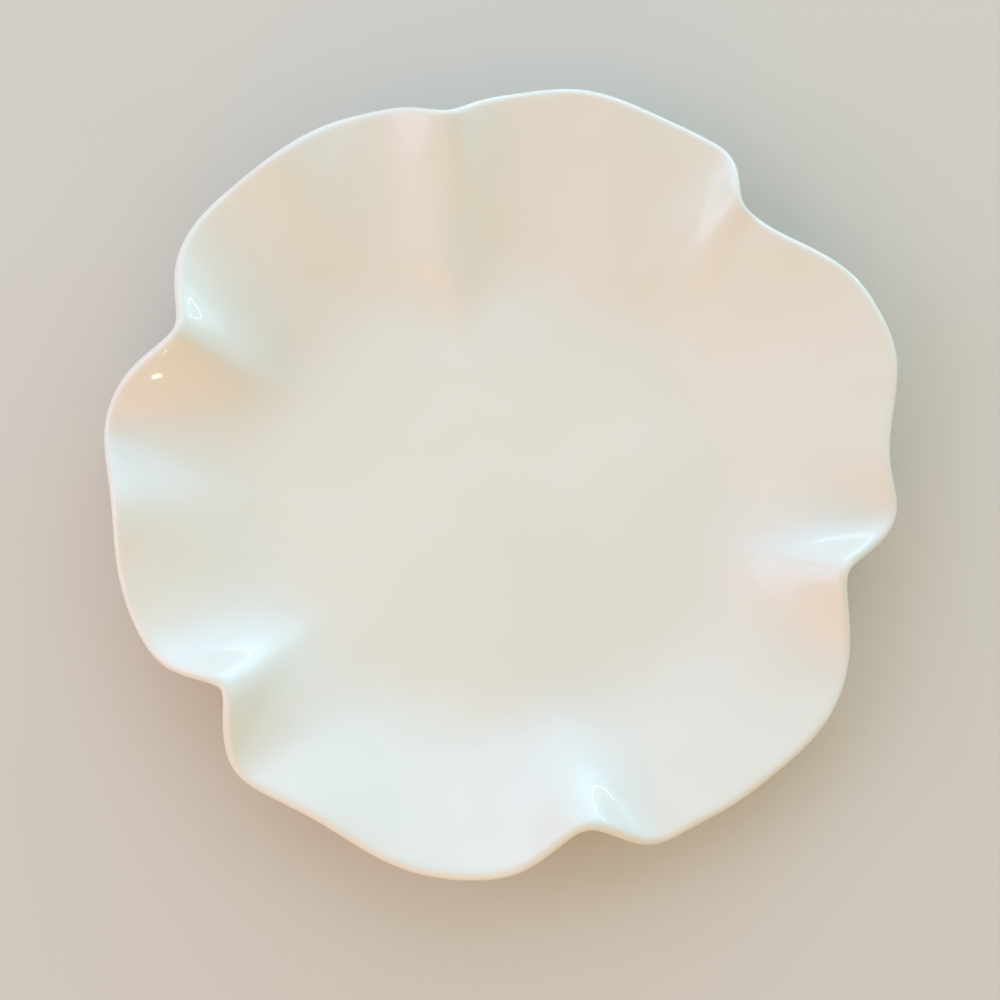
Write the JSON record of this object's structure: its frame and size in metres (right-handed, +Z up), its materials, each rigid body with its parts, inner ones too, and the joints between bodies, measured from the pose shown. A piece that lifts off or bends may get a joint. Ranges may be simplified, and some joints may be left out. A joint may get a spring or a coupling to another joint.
{
  "type": "scalloped dessert plate",
  "caption": "Round ceramic dessert plate with a flat well, a wide rim ruffled into raised crests, and a foot ring.",
  "frame": {"origin": "on the table, under the middle of the plate's outline seen from above", "axes": "+Z up out of the well, +Y towards the crest at the back, +X to the right seen from above"},
  "size_m": [0.2003, 0.1977, 0.0273],
  "materials": {
    "clay": "matte",
    "foot_clay": "matte",
    "top_glaze": "gloss",
    "underside_glaze": "gloss"
  },
  "bodies": {
    "root": {"ceramic_body": "clay", "foot_ring": "foot_clay", "top_glaze": "top_glaze", "underside_glaze": "underside_glaze", "recess_glaze": "underside_glaze"}
  },
  "joints": []
}
